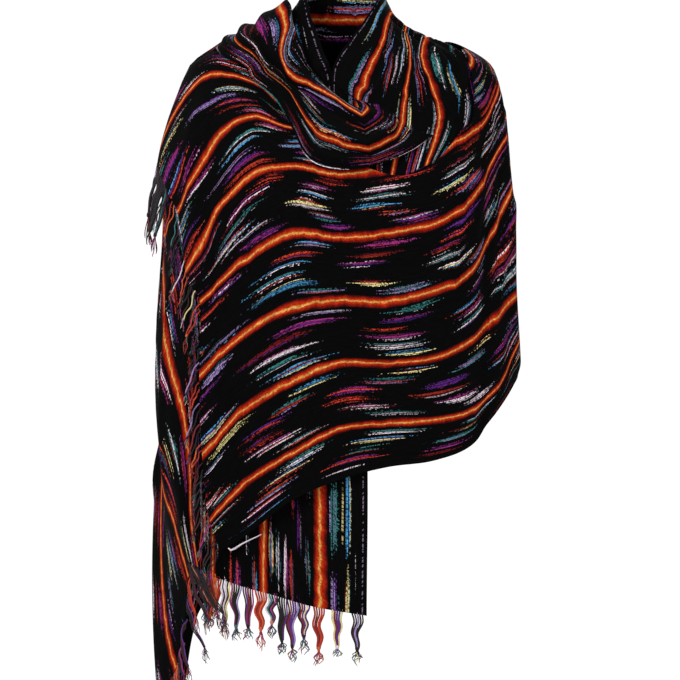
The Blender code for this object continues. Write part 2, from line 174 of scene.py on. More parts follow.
# %% The edges and the layers
# The two selvedges and the wrap's upper border at its end, counted in stripes
HEM = 0.18
NECK_EDGE = 9.5
WRAP_EDGE = 7.7

# How far the stretches lie from the figure, each over the one before
FAR_OUT = -0.004
NECK_OUT = 0.0035
WRAP_OUT = 0.0065
SHOULDER_OUT = 0.002
COWL_OUT = 0.0125
COWL_SWELL = 0.010

# Where the wrap and the back meet, behind the left shoulder
SHOULDER_SEAM = 102.0

# %% The figure
# A general figure with its arms at its sides, as half widths and depths at each height
FIGURE = (
    # height, right, left, front, back
    (-950, 238, 246, 128, 112), (-600, 242, 251, 136, 112), (-400, 242, 248, 143, 114),
    (-300, 237, 244, 146, 122), (-200, 236, 243, 142, 128), (-140, 230, 244, 132, 126),
    (-80, 225, 231, 114, 118), (-40, 218, 215, 100, 110), (-15, 209, 205, 91, 102),
    (0, 200, 196, 86, 98), (20, 168, 160, 76, 90), (40, 120, 120, 67, 82),
    (60, 86, 92, 60, 74), (90, 65, 62, 54, 66), (110, 56, 52, 50, 62),
    (140, 50, 46, 46, 58),
)
# How far a level section of the figure goes from an ellipse towards a rounded oblong
SQUARE = 0.05


# %% Smooth curves and steps
def smooth(knots, values, at):
    """Read a smooth curve through the values at the knots. Values may hold a column for each place in at."""
    knots, values, at = np.asarray(knots, float), np.asarray(values, float), np.asarray(at, float)
    if values.ndim == 1:
        values = np.repeat(values[:, None], at.size, axis=1)
    step = np.diff(knots)[:, None]
    rise = np.diff(values, axis=0) / step
    slope = np.empty_like(values)
    slope[1:-1] = (rise[:-1] * step[1:] + rise[1:] * step[:-1]) / (step[1:] + step[:-1])
    slope[0], slope[-1] = rise[0], rise[-1]
    cell = np.clip(np.searchsorted(knots, at) - 1, 0, len(knots) - 2)
    place = np.arange(at.size)
    width = step[cell, 0]
    t = np.clip((at - knots[cell]) / width, 0, 1)
    low, high = values[cell, place], values[cell + 1, place]
    start, end = slope[cell, place] * width, slope[cell + 1, place] * width
    return low + t * (start + t * (3 * (high - low) - 2 * start - end + t * (2 * (low - high) + start + end)))


def between(table, at):
    """Read a smooth curve through a table of knots and values."""
    return smooth(list(table), np.array(list(table.values())), at)


def ease(low, high, value):
    """0 below low and 1 above high, smoothly between."""
    t = np.clip((value - low) / (high - low), 0, 1)
    return t * t * (3 - 2 * t)


def hump(value, middle, half_width):
    """A soft rise to 1 at the middle."""
    return np.exp(-(((value - middle) / half_width) ** 2))


# %% Places on the figure
def figure(turn, height):
    """Points on the general figure."""
    heights, right, left, front, back = np.array(FIGURE).T / 1000
    angle = np.radians(turn)
    across = (np.sin(angle) + SQUARE * np.sin(3 * angle)) / (1 - SQUARE)
    deep = (np.cos(angle) - SQUARE * np.cos(3 * angle)) / (1 - SQUARE)
    half_width = np.where(across > 0, smooth(heights, right, height), smooth(heights, left, height))
    depth = np.where(deep > 0, smooth(heights, front, height), smooth(heights, back, height))
    return np.stack([across * half_width, -deep * depth, height], axis=1)


def over_figure(turn, height, out):
    """Points that far out from the general figure."""
    d_turn, d_height = 0.5, 0.002
    along = figure(turn + d_turn, height) - figure(turn - d_turn, height)
    up = figure(turn, height + d_height) - figure(turn, height - d_height)
    normal = np.cross(along, up)
    normal /= np.linalg.norm(normal, axis=1)[:, None]
    return figure(turn, height) + normal * np.asarray(out)[:, None]


def woven(rows, along, across):
    """Turn and height at each place of a stretch, whose stripes are rows of turns and rows of heights."""
    turn, height = (between({stripe: smooth(range(len(row[part])), row[part], along)
                             for stripe, row in rows.items()}, across) for part in (0, 1))
    return turn, height / 1000


# %% [markdown]
# The wrap goes round the left arm, across the chest and up to the right arm. Each row below follows one
# stripe through the same turns. Its upper border is a fold that dips in the middle of the chest.

# %% The wrap's stripes
# The height of each stripe at each turn, from the right arm's back to the left arm's back
WRAP_TURNS = (-118, -90, -71, -54, -39, -25, -12, 0, 12, 25, 39, 54, 71, 90, 102)
WRAP_HEIGHTS = {
    HEM: (-940, -860, -790, -720, -664, -630, -582, -554, -538, -530, -509, -456, -416, -396, -395),
    1: (-890, -810, -750, -686, -620, -561, -520, -487, -479, -476, -463, -425, -350, -325, -325),
    2: (-760, -680, -630, -572, -521, -462, -425, -402, -402, -395, -371, -336, -300, -268, -255),
    3: (-620, -560, -520, -465, -412, -361, -326, -319, -321, -308, -282, -221, -180, -155, -150),
    4: (-480, -430, -400, -360, -314, -263, -232, -237, -232, -221, -190, -141, -100, -68, -65),
    5: (-410, -380, -345, -300, -248, -161, -144, -155, -148, -135, -104, -73, -4, 16, 10),
    6: (-320, -290, -250, -185, -105, -77, -93, -78, -68, -55, -25, 0, 30, 50, 45),
    7: (-200, -140, -75, -24, -19, -35, -70, -30, -10, 0, 20, 40, 60, 70, 70),
    WRAP_EDGE: (-110, 14, 13, 10, 6, -6, -35, 0, 20, 30, 45, 60, 75, 85, 85),
}
# The wrap's fringed end: the turn at which each stripe ends
WRAP_END = {HEM: -33, 1: -36.5, 2: -39.5, 3: -41, 4: -41, 5: -48, 6: -57, 7: -88, WRAP_EDGE: -112}
# The wrap's upper border, a fold: the stripe that it runs along at each turn
WRAP_TOP = {-118: 7.6, -45: 7.7, -28: 7.45, -19: 7.0, -12: 6.4, -6: 5.9, 0: 5.5, 6: 5.15, 39: 5.15,
            45.7: 5.33, 48: 5.7, 50: 6.03, 54: 6.15, 71: 5.65, 90: 5.34, 102: 5.3}


def wrap_heights(turn, stripe):
    """The wrap's height at each turn and stripe."""
    rows = {row: smooth(WRAP_TURNS, heights, turn) for row, heights in WRAP_HEIGHTS.items()}
    return between(rows, stripe) / 1000


# %% [markdown]
# The other half of the cloth goes across the back and round the right arm, and hangs in front under the
# wrap.

# %% The far half's stripes
# The middle and the far half of the cloth: each stripe's turns and then its heights, from the seam behind the
# left shoulder across the back to the right shoulder, the sixth place, and on down to the fringed end
FAR_HALF = {
    HEM: ((102.4, 128, 152, 170, 184, 198, 210, 221, 230, 236, 240, 243),
          (-395, -435, -490, -540, -585, -635, -680, -725, -780, -850, -920, -985)),
    1: ((102.4, 131, 157, 176, 191, 206, 219, 230, 239, 245, 249, 252),
        (-325, -368, -422, -470, -515, -565, -612, -665, -730, -805, -885, -960)),
    2: ((102.4, 136, 166, 188, 205, 221, 233, 243, 251, 257, 262, 266),
        (-255, -300, -350, -395, -440, -495, -555, -620, -695, -775, -855, -925)),
    3: ((102.4, 140, 175, 200, 219, 236, 247, 256, 264, 271, 277, 282),
        (-150, -225, -285, -330, -375, -440, -505, -580, -660, -740, -815, -875)),
    4: ((102.4, 140, 179, 208, 230, 246, 256, 265, 274, 283, 292, 301),
        (-65, -165, -228, -268, -315, -385, -465, -550, -635, -705, -765, -812)),
    5: ((102.4, 140, 180, 212, 238, 254, 265, 277, 290, 300, 306, 312),
        (10, -110, -175, -205, -235, -330, -430, -520, -575, -605, -640, -685)),
    6: ((102.4, 140, 180, 215, 245, 270, 284, 296, 308, 313, 314, 317),
        (30, -80, -125, -125, -120, -190, -295, -385, -455, -530, -605, -672)),
    7: ((102.4, 140, 180, 220, 258, 282, 300, 311, 318, 322, 323, 323),
        (45, -40, -65, -48, 5, -10, -60, -140, -240, -380, -530, -685)),
    8: ((102.4, 140, 180, 220, 262, 290, 312, 325, 333, 338, 340, 340),
        (62, 15, 0, 15, 45, 25, -20, -80, -170, -320, -520, -705)),
    9: ((102.4, 140, 180, 220, 262, 300, 325, 340, 348, 352, 354.5, 355),
        (85, 80, 78, 80, 80, 60, 20, -30, -110, -270, -500, -725)),
    NECK_EDGE: ((102.4, 140, 180, 220, 262, 311, 340, 355, 359, 364, 367, 367),
                (108, 122, 128, 122, 108, 95, 60, 10, -60, -250, -500, -735)),
}
print(len(FAR_HALF), "stripes and edges of the far half, each at", len(FAR_HALF[1][0]), "places")

# %% [markdown]
# Two more pieces of the wrap show: its upper part, which falls from the left shoulder into the V neck, and
# the same part further on, which is thrown over the right shoulder as a soft roll.

# %% The neck's and the roll's stripes
# The upper part of the wrap from the left shoulder down into the V neck, as turns and heights
NECK_FALL = {
    5.3: ((102, 86, 70, 57, 51, 51, 50, 43, 34), (26, 31, 22, 12, -4, -26, -55, -94, -126)),
    6: ((102, 74, 54, 45, 42, 42, 42, 39, 30), (32, 30, 20, 3, -18, -38, -60, -92, -134)),
    7: ((102, 62, 40, 31, 28, 28.4, 29.5, 30, 24.5), (45, 38, 26, 12, -2, -24, -50, -82, -142)),
    8: ((102, 62, 36, 25.4, 22, 20.2, 18.8, 17.6, 14), (62, 55, 34, 10, -14, -34, -56, -88, -160)),
    9: ((102, 66, 36, 18.3, 11.5, 8.6, 7, 5, 6), (85, 76, 55, 27, 4, -14, -32, -54, -140)),
    NECK_EDGE: ((102, 75, 48.7, 27, 10, 3, -1, -2.4, -2), (108, 105, 95, 71.5, 45, 25, 4, -22, -100)),
}
# The wrap's upper part from its end at the back over the right shoulder into the V neck
COWL = {
    7: ((-122, -107, -90, -38.4, -28, -18.8, -12.6, -9, -5, 1.3, 8),
        (-115, -45, 19, -3, -29, -56, -96, -130, -145, -150, -146)),
    8: ((-136, -115, -90, -35.4, -21.5, -15, -11.6, -5.4, -1.7, 2, 7.8),
        (-125, -35, 35, 9.5, -23, -43, -62, -105, -114.5, -122, -126.5)),
    9: ((-157, -130, -90, -42, -22, -14.3, -9, -4, -0.5, 2.4, 6),
        (-110, 10, 60, 36, 2, -29, -40, -52, -62, -72, -82)),
    NECK_EDGE: ((-165, -136, -90, -50, -27, -14.6, -10, -6, -2, 2, 6),
                (-90, 30, 83, 78, 45, 17, -8, -30, -47, -61, -71)),
}
# The turned end of the roll, which runs on into the neck
TURNED_END = {
    7: ((8, 14, 21, 27.6), (-146, -137, -122, -102)),
    8: ((7.8, 12, 15.6, 17.5), (-126.5, -117, -104, -88)),
    8.5: ((7, 10.5, 13, 13.4), (-103, -93, -80, -64)),
    9: ((6, 7.4, 7, 5.4), (-82, -74, -65, -56)),
    NECK_EDGE: ((6, 4.5, 1.5, -2.2), (-71, -58, -44, -29)),
}

# %% [markdown]
# ## Folds
#
# Large folds are the same as the solids have. Small creases come on top, each given as a line with
# a width and a rise. Cloth that hangs from a point creases in a fan below it, cloth that is wrapped creases
# along its pull, and no two creases are alike, so the rows are uneven on purpose.

# %% Large folds
# Main folds of the wrap, as lines on it with a height that is positive for a ridge and negative for a
# trough
WRAP_FOLDS = (
    # from turn, from height, to turn, to height, half width, rise
    (62, -30, 66, -400, 18, 8), (50, -120, 44, -480, 20, -7), (-47, -80, -43, -360, 18, 6),
    (-36, -200, 22, -195, 14, 5), (-30, -260, 30, -380, 20, 4), (-26, -420, 34, -450, 18, 4),
)
# Hanging folds of the two tails, as the stripe that each runs along
TAIL_FOLDS = (
    # stripe at the top, stripe at the fringe, half width in stripes, rise
    (8.5, 8.5, 0.45, -6), (7.3, 7.3, 0.35, -6), (5.6, 5.6, 0.35, 9), (4.4, 4.4, 0.45, -8),
    (3.4, 3.4, 0.40, 10), (2.3, 2.3, 0.45, -8), (1.2, 1.2, 0.40, 9),
)
# Folds that run down the back from the nape
BACK_FOLDS = (
    # stripe at the seam, stripe at the right shoulder, half width in stripes, rise
    (2.2, 2.6, 0.35, 7), (4.0, 4.3, 0.40, 9), (5.8, 6.2, 0.35, 8), (7.6, 7.8, 0.30, 7),
)


# %% Small creases of the wrap
WRAP_CREASES = (
    # from turn, from height, to turn, to height, half width, rise
    (14, -150, -16, -215, 6, 2.2), (22, -128, -10, -178, 5, -2), (27, -150, 4, -250, 7.5, 2),
    (36, -110, 20, -230, 8, -2.4), (40, -85, 33, -300, 7, 2.6), (55, -80, 42, -230, 6, 3),
    (58, -150, 52, -330, 7, -2.6), (64, -190, 47, -400, 8, 2.8), (70, -100, 72, -330, 7, -3),
    (80, -60, 84, -300, 8, 3), (92, -50, 95, -280, 9, -2.6), (56, -380, 40, -470, 7, 2.4),
    (24, -330, -22, -330, 7, 1.8), (30, -410, -12, -400, 8, -2), (18, -480, -20, -470, 7, 2.2),
    (6, -525, -24, -560, 7, -1.8), (-32, -130, -24, -270, 8, 2.4), (-38, -160, -34, -400, 6.5, -2.2),
    (-25, -90, -14, -220, 7.5, -2), (-46, -60, -60, -180, 8, 3), (-56, -40, -75, -110, 7.5, -2.8),
    (-34, -430, -37, -600, 6.5, 2.4), (-28, -440, -26, -560, 7, -2), (-44, -20, -40, -120, 7, 2.2),
    (4, -260, -26, -400, 9, 2),
)
print(len(WRAP_CREASES), "creases in the wrap")

# %% Small creases of the back, the tails and the neck
FAR_CREASES = (
    # from turn, from height, to turn, to height, half width, rise
    (118, 10, 168, -230, 10, 4), (126, 20, 196, -160, 9, -3.5), (112, -60, 150, -330, 11, 4.5),
    (108, -120, 128, -380, 10, -4), (236, 0, 180, -190, 10, 4), (232, -40, 170, -300, 12, -4.2),
    (240, -90, 190, -420, 11, 4.6), (228, -200, 182, -520, 10, -3.5), (166, 95, 160, 20, 8, 3),
    (192, 100, 200, 10, 9, -3), (214, -320, 200, -680, 10, 3.5), (246, -300, 240, -640, 9, -4),
    (262, -250, 258, -720, 9, 4.5), (276, -180, 280, -600, 8, -4), (292, -300, 296, -560, 8, 4),
    (232, -620, 224, -840, 9, 3.5), (250, -660, 246, -850, 8, -3), (345, -500, 343, -690, 6, 2.5),
    (330, -520, 332, -680, 6, -2.2), (356, 0, 344, -20, 5, 3),
)
NECK_CREASES = (
    (60, 70, 18, -50, 6.5, 4.5), (50, 62, 30, -20, 6, -4), (66, 50, 32, -70, 7, 5),
    (44, 28, 38, -85, 6, -4), (28, 40, 6, -60, 5, 4), (16, 20, 2, -80, 4.5, -3),
    (34, -10, 22, -110, 6, 3.5),
)
COWL_ROLLS = (
    # stripe at the end, stripe at the neck, half width in stripes, rise
    (7.5, 7.35, 0.16, 4.5), (7.9, 7.80, 0.12, -4), (8.3, 8.15, 0.16, 5.5),
    (8.7, 8.60, 0.12, -4.5), (9.0, 9.05, 0.14, 5),
)
print(len(FAR_CREASES) + len(NECK_CREASES), "creases in the rest, and", len(COWL_ROLLS), "folds in the roll")

# %% How the folds lift the cloth
METRES_PER_DEGREE = 0.0042  # of cloth, for a turn round the figure


def fold_relief(folds, turn, height):
    """How far the folds lift the cloth at each place."""
    relief = np.zeros_like(turn)
    places = np.stack([turn * METRES_PER_DEGREE, height], axis=1)
    for turn_a, height_a, turn_b, height_b, half_width, rise in folds:
        away = places - np.array([turn_a * METRES_PER_DEGREE, height_a / 1000])
        line = np.array([(turn_b - turn_a) * METRES_PER_DEGREE, (height_b - height_a) / 1000])
        nearest = np.clip(away @ line / (line @ line), 0, 1)[:, None] * line
        relief += rise / 1000 * hump(np.linalg.norm(away - nearest, axis=1), 0, half_width / 1000)
    return relief


def stripe_relief(folds, share, across):
    """How far folds that follow the stripes lift the cloth, at a share of the way along them."""
    return sum(rise / 1000 * hump(across, first + (last - first) * share, half_width)
               for first, last, half_width, rise in folds)

# %% [markdown]
# ## The sheets
#
# The cloth is a thin sheet of its own on the form of each solid. The sheets are grids of points, so the
# same rows and columns also carry the weave: along the cloth in metres, and across it in stripes.

# %% The wrap
SKIN = 0.0004
# How many stripes' widths the weave is drawn sideways for each metre a crease rises, and how much less it
# is round the left arm, where it also moves by a share of a stripe
DRAWN_IN = 10.0
LEFT_ARM_CALM = 0.7
LEFT_ARM_MOVE = 0.36
# Where stripes over the right arm are pulled aside: how far, then stripe and half width, height and half
# height
PULLED = (
    (0.22, 5.85, 0.38, -0.160, 0.055), (-0.22, 5.1, 0.35, -0.200, 0.055),
)


def wrap_surface(along, across):
    """Turn and height at each place of the wrap, its stripe there, and its point in space."""
    stripe = HEM + across * (WRAP_EDGE - HEM)
    end = between(WRAP_END, stripe)
    turn = end + along * (SHOULDER_SEAM - end)
    top = between(WRAP_TOP, turn)
    stripe = HEM + across * (top - HEM)
    height = wrap_heights(turn, stripe)
    # Low on the left arm the wrap lies on the figure itself, and over the shoulders it stands off more
    alone = ease(60, 85, turn) * ease(4.9, 4.3, stripe)
    tips = SHOULDER_OUT * ease(-0.09, -0.04, height) * ease(30, 50, abs(turn))
    creases = fold_relief(WRAP_CREASES, turn, height)
    relief = fold_relief(WRAP_FOLDS, turn, height) + creases
    calm = 1 - LEFT_ARM_CALM * ease(38, 52, turn) * ease(108, 92, turn)
    drawn = DRAWN_IN * calm * creases * ease(1, 0.9, along)
    right_arm = ease(-22, -38, turn)
    for pull, middle, half_width, level, half_height in PULLED:
        here = hump(stripe, middle, half_width) * hump(height, level, half_height)
        drawn += pull * right_arm * here
    drawn -= LEFT_ARM_MOVE * ease(48, 68, turn) * ease(102, 84, turn) * hump(height, -0.15, 0.09)
    return stripe + drawn, over_figure(turn, height, SKIN + WRAP_OUT * (1 - alone) + tips + relief)


# %% The back and the far half
def far_surface(along, across):
    """The stripe and the point in space at each place of the back and the far half."""
    turn, height = woven(FAR_HALF, along, across)
    hanging = ease(4, 6, along)
    on_back = ease(0, 1.5, along) * (1 - hanging)
    creases = fold_relief(FAR_CREASES, turn, height) * ease(0, 0.6, along)
    relief = hanging * stripe_relief(TAIL_FOLDS, 0, across)
    relief += on_back * stripe_relief(BACK_FOLDS, along / 4, across)
    out = SKIN + FAR_OUT * ease(1, 5, along) + relief + creases
    return across + DRAWN_IN * creases * ease(5.5, 4, along), over_figure(turn, height, out)


# %% The neck and the roll
# In stripes for each stripe: how much of the neck's lower border is tucked under, and how much more of the
# roll's lower border shows
TUCKED_UNDER = 0.62
SHOWN_MORE = 0.14
# How far the roll's turned end lies over the neck fall
TURNED_OUT = 0.0022


def neck_surface(along, across):
    """The stripe and the point in space at each place of the stretch from the left shoulder to the V neck."""
    turn, height = woven(NECK_FALL, along, across)
    relief = fold_relief(NECK_CREASES, turn, height) * ease(0, 1.5, along)
    tucked = np.clip(7 - across, 0, None) * TUCKED_UNDER * ease(0, 0.9, along)
    return across + tucked, over_figure(turn, height, SKIN + NECK_OUT * ease(70, 30, turn) + relief)


def cowl_rise(along, across):
    """How far the roll stands off the figure: it swells in its middle, and narrow folds run along it."""
    middle = np.sin(math.pi * np.clip((across - 7) / (NECK_EDGE - 7), 0, 1))
    rolls = stripe_relief(COWL_ROLLS, along / 10, across) * ease(0, 3, along)
    return COWL_OUT + COWL_SWELL * middle * ease(0, 4, along) + rolls


def shown_stripe(across):
    """The stripe of each place across the roll, whose lower border shows a little more cloth."""
    return across + np.clip(8 - across, 0, None) * SHOWN_MORE


def cowl_surface(along, across):
    """The stripe and the point in space at each place of the roll over the right shoulder."""
    turn, height = woven(COWL, along, across)
    stripe = shown_stripe(across)
    # The ninth stripe lies nearer to the neck's edge, and the eighth a little further from it
    stripe -= 0.33 * ease(8.3, 9.3, across) * ease(1.2, 2.4, along) * ease(4.7, 3.7, along)
    stripe += 0.10 * hump(across, 8, 0.4) * ease(2, 3, along) * ease(7.5, 6, along)
    return stripe, over_figure(turn, height, SKIN + cowl_rise(along, across))


def turned_surface(along, across):
    """Where the roll turns up at its end, to run on as the stretch that falls from the left shoulder."""
    turn, height = woven(TURNED_END, along, across)
    sunk = ease(0.7, 3, along)
    under = NECK_OUT + TURNED_OUT + fold_relief(NECK_CREASES, turn, height)
    rise = cowl_rise(np.full_like(turn, 10.0), across) * (1 - sunk) + under * sunk
    return shown_stripe(across), over_figure(turn, height, SKIN + rise)


# %% Grids of points
def grid(surface, along, across):
    """The stripes and points of a stretch, as arrays with a row for each place along it."""
    a, b = np.meshgrid(along, across, indexing="ij")
    stripe, points = surface(a.ravel(), b.ravel())
    return np.asarray(stripe, float).reshape(a.shape), points.reshape(*a.shape, 3)


def lengths(points):
    """How far along the cloth each point lies from the first of its stripe, in metres."""
    steps = np.linalg.norm(np.diff(points, axis=0), axis=2)
    return np.vstack([np.zeros(points.shape[1]), np.cumsum(steps, axis=0)])


# The stripe at the seam between the wrap below and the neck fall above, and the points across each
NECK_START = 5.3
WRAP_ACROSS = 91
WRAP_ALONG = np.linspace(0, 1, 185)
LOWER = np.linspace(HEM, NECK_START, WRAP_ACROSS)
UPPER = np.linspace(NECK_START, NECK_EDGE, 57)
far_stripe, far_points = grid(far_surface, np.linspace(0, 11, 171), np.concatenate([LOWER, UPPER[1:]]))
wrap_stripe, wrap_points = grid(wrap_surface, WRAP_ALONG, np.linspace(0, 1, WRAP_ACROSS))
neck_stripe, neck_points = grid(neck_surface, np.linspace(0, 8, 61), UPPER)
cowl_stripe, cowl_points = grid(cowl_surface, np.linspace(0, 10, 121), np.linspace(7, NECK_EDGE, 61))
turned_stripe, turned_points = grid(turned_surface, np.linspace(0, 3, 25), np.linspace(7, NECK_EDGE, 61))

# %% [markdown]
# Behind the left shoulder the stretches are one cloth, so their edges are brought onto each other: the
# difference fades in over the last tenth of the wrap, and the shared points are then merged.

# %% Join the edges behind the left shoulder
def meet(points, shares, edge, target):
    """Moves points towards a target edge, more the nearer their share is to 1."""
    pull = ease(0.85, 1.0, shares)[:, None, None]
    return points + pull * (target - edge)


wrap_points = meet(wrap_points, WRAP_ALONG, wrap_points[-1], far_points[0, :WRAP_ACROSS])
neck_points = meet(neck_points, np.linspace(1, 0, 61), neck_points[0], far_points[0, WRAP_ACROSS - 1:])

# %% [markdown]
# Now each point gets its place along the cloth, counted from the seam: backwards for the wrap, forwards for
# the far half. The roll hides the stretch before it, so its count starts where the cloth comes back into
# view.

# %% Places along the cloth
ROLL_START = -0.42
wrap_along = lengths(wrap_points[::-1])[::-1] * -1
neck_along = lengths(neck_points) * -1
far_along = lengths(far_points)
cowl_along = ROLL_START - lengths(cowl_points[::-1])[::-1]
turned_along = ROLL_START + lengths(turned_points)
print("far half", round(far_along[-1].max(), 2), "m, wrap", round(-wrap_along[0].min(), 2), "m")

# %% [markdown]
# The grids of one cloth are merged where they meet, and Solidify gives the sheet its wall. The wall lies
# outwards, so that the inside keeps to the figure.

# %% Make the cloths
WALL = 0.0012
MERGED = 0.00002  # how near two points of different grids are one


def add_grid(mesh, points, along, stripe, outward):
    """Adds a grid of points to a mesh, with the place on the cloth as its UV."""
    weave = mesh.loops.layers.uv.get("weave") or mesh.loops.layers.uv.new("weave")
    corners = np.array([[mesh.verts.new(point) for point in line] for line in points])
    for i in range(points.shape[0] - 1):
        for j in range(points.shape[1] - 1):
            around = [(i, j), (i + 1, j), (i + 1, j + 1), (i, j + 1)]
            if not outward:
                around.reverse()
            face = mesh.faces.new([corners[place] for place in around])
            face.smooth = True
            for loop, place in zip(face.loops, around):
                loop[weave].uv = (along[place], stripe[place])


def cloth_object(name, grids):
    """A cloth of one or more grids, merged where they meet and given its thickness outwards."""
    mesh = bmesh.new()
    for points, along, stripe, outward in grids:
        add_grid(mesh, points, along, stripe, outward)
    bmesh.ops.remove_doubles(mesh, verts=mesh.verts, dist=MERGED)
    data = bpy.data.meshes.new(name)
    mesh.to_mesh(data)
    mesh.free()
    thing = add_object(name, data)
    wall = thing.modifiers.new("thickness", "SOLIDIFY")
    wall.thickness = WALL
    wall.offset = 1
    select_only(thing)
    bpy.ops.object.modifier_apply(modifier=wall.name)
    bpy.ops.object.shade_smooth_by_angle(angle=math.radians(60))
    print(name, len(data.polygons), "faces")
    return thing


shawl = cloth_object("shawl_cloth", [
    (far_points, far_along, far_stripe, True),
    (wrap_points, wrap_along, wrap_stripe, True),
    (neck_points, neck_along, neck_stripe, False),
    (turned_points, turned_along, turned_stripe, True),
])
cowl = cloth_object("cowl_cloth", [(cowl_points, cowl_along, cowl_stripe, True)])

# %% [markdown]
# ## Dye and weave
#
# The pattern is ikat, called jaspe on a rebozo: bundles of warp threads are tied and dyed before they are
# woven, so each coloured dash has ragged ends and sits a little further on than its neighbour. Nothing is
# drawn. The nodes ask of every point which thread it lies on, which bundle that thread is in, and whether
# the bundle was dyed there.

# %% Numbers in a node tree
def signed(operation):
    """What a sign does: it has a Math node work out an operation on this number and another."""
    return lambda self, other=0.0: self.wires.math(operation, self, other)


class Number:
    """A number that a node tree works out. Python's own signs on such numbers add Math nodes."""

    def __init__(self, wires, socket):
        """Remembers the tree's wires and the socket that gives the number."""
        self.wires, self.socket = wires, socket

    def __rsub__(self, other):
        """A plain number less this one."""
        return self.wires.math("SUBTRACT", other, self)

    __add__, __sub__, __mul__ = signed("ADD"), signed("SUBTRACT"), signed("MULTIPLY")
    __truediv__, __mod__, __abs__ = signed("DIVIDE"), signed("MODULO"), signed("ABSOLUTE")
    # 1 where the comparison is true, else 0
    __gt__, __lt__ = signed("GREATER_THAN"), signed("LESS_THAN")


# %% Nodes and their links
class Wires:
    """Adds nodes to a tree and links them, one call to a node."""

    def __init__(self, tree):
        """Remembers the tree that the nodes go into."""
        self.tree = tree

    def node(self, kind, given=(), **settings):
        """A new node of a kind, with what is given to its sockets by name or number, and its settings."""
        made = self.tree.nodes.new(kind)
        for name, value in settings.items():
            setattr(made, name, value)
        for name, value in dict(given).items():
            self.feed(made.inputs[name], value)
        return made

    def feed(self, socket, value):
        """Links a number or an output to a socket, or sets the socket to a plain value."""
        value = value.socket if isinstance(value, Number) else value
        if hasattr(value, "is_output"):
            self.tree.links.new(value, socket)
        else:
            socket.default_value = value

    def math(self, operation, *values):
        """The number that a Math node makes of others."""
        made = self.node("ShaderNodeMath", enumerate(values), operation=operation)
        return Number(self, made.outputs[0])

    def floor(self, value):
        """The whole number below a value."""
        return self.math("FLOOR", value)

    def fract(self, value):
        """What a value has above its whole number."""
        return self.math("FRACT", value)

    def ramp_between(self, value, low, high):
        """0 at low and 1 at high, smoothly between."""
        given = {"Value": value, "From Min": low, "From Max": high}
        made = self.node("ShaderNodeMapRange", given, interpolation_type="SMOOTHSTEP")
        return Number(self, made.outputs["Result"])

    def vector(self, x, y, z=0.0):
        """Three numbers as one vector."""
        return self.node("ShaderNodeCombineXYZ", enumerate((x, y, z))).outputs[0]

    def chance(self, x, y):
        """A number from 0 to 1 that belongs to the pair x, y."""
        made = self.node("ShaderNodeTexWhiteNoise", {"Vector": self.vector(x, y)}, noise_dimensions="2D")
        return Number(self, made.outputs["Value"])

    def swing(self, x, y, width):
        """A number that belongs to the pair x, y, at most half the width above or below 0."""
        return (self.chance(x, y) - 0.5) * width

    def noise(self, place, scale, detail=2.0, roughness=0.5, dimensions="2D"):
        """Soft noise from 0 to 1."""
        given = {"Vector": place, "Scale": scale, "Detail": detail, "Roughness": roughness}
        return Number(self, self.node("ShaderNodeTexNoise", given, noise_dimensions=dimensions).outputs[0])

    def mix(self, share, first, second, blend="MIX"):
        """The first colour where the share is 0, the second where it is 1."""
        given = {0: share, 6: first, 7: second}
        return self.node("ShaderNodeMix", given, data_type="RGBA", blend_type=blend).outputs[2]

    def shade(self, colour, amount):
        """A colour made lighter or darker by an amount."""
        return self.mix(1.0, colour, self.vector(amount, amount, amount), "MULTIPLY")

    def colours(self, value, stops, interpolation="LINEAR"):
        """The colour that belongs to a value, from stops of a position and a colour."""
        made = self.node("ShaderNodeValToRGB", {"Fac": value})
        ramp = made.color_ramp
        ramp.interpolation = interpolation
        while len(ramp.elements) > 1:
            ramp.elements.remove(ramp.elements[-1])
        ramp.elements[0].position, ramp.elements[0].color = stops[0][0], (*stops[0][1], 1)
        for position, colour in stops[1:]:
            ramp.elements.new(position).color = (*colour, 1)
        return made.outputs["Color"]

    def palette(self, value, dyes):
        """One of the dyes, in equal steps of a value from 0 to 1."""
        return self.colours(value, [(i / len(dyes), dye) for i, dye in enumerate(dyes)], "CONSTANT")

    def bump(self, height, strength, distance, normal=None):
        """The normal of a surface with a height, on top of another normal."""
        given = {"Strength": strength, "Distance": distance, "Height": height}
        if normal is not None:
            given["Normal"] = normal
        return self.node("ShaderNodeBump", given).outputs["Normal"]


# %% Groups and screen colours
def linear(red, green, blue):
    """A screen colour from 0 to 255 as the linear values that nodes use."""
    shares = (red / 255, green / 255, blue / 255)
    return tuple(((c + 0.055) / 1.055) ** 2.4 if c > 0.04 else c / 12.92 for c in shares)


def cloth_group(name, outputs):
    """A node group that takes a place on the cloth, with its wires, that place, and its output node."""
    tree = bpy.data.node_groups.new(name, "ShaderNodeTree")
    for label in ("Along", "Across"):
        tree.interface.new_socket(name=label, in_out="INPUT", socket_type="NodeSocketFloat")
    for label, kind in outputs.items():
        tree.interface.new_socket(name=label, in_out="OUTPUT", socket_type=kind)
    wires, entry = Wires(tree), tree.nodes.new("NodeGroupInput")
    along, across = (Number(wires, entry.outputs[label]) for label in ("Along", "Across"))
    return tree, wires, along, across, tree.nodes.new("NodeGroupOutput")


# %% The dyes
PURPLE = linear(92, 38, 124)
LAVENDER = linear(158, 134, 190)
MAGENTA = linear(156, 48, 122)
FLAME = linear(206, 62, 42)
WINE = linear(128, 26, 34)
TEAL = linear(56, 124, 122)
CHALK = linear(232, 214, 224)
SKY = linear(78, 154, 204)
STRAW = linear(234, 218, 150)
BLACK_GROUND = linear(3, 3, 4)
EDGE_THREAD = linear(120, 104, 124)
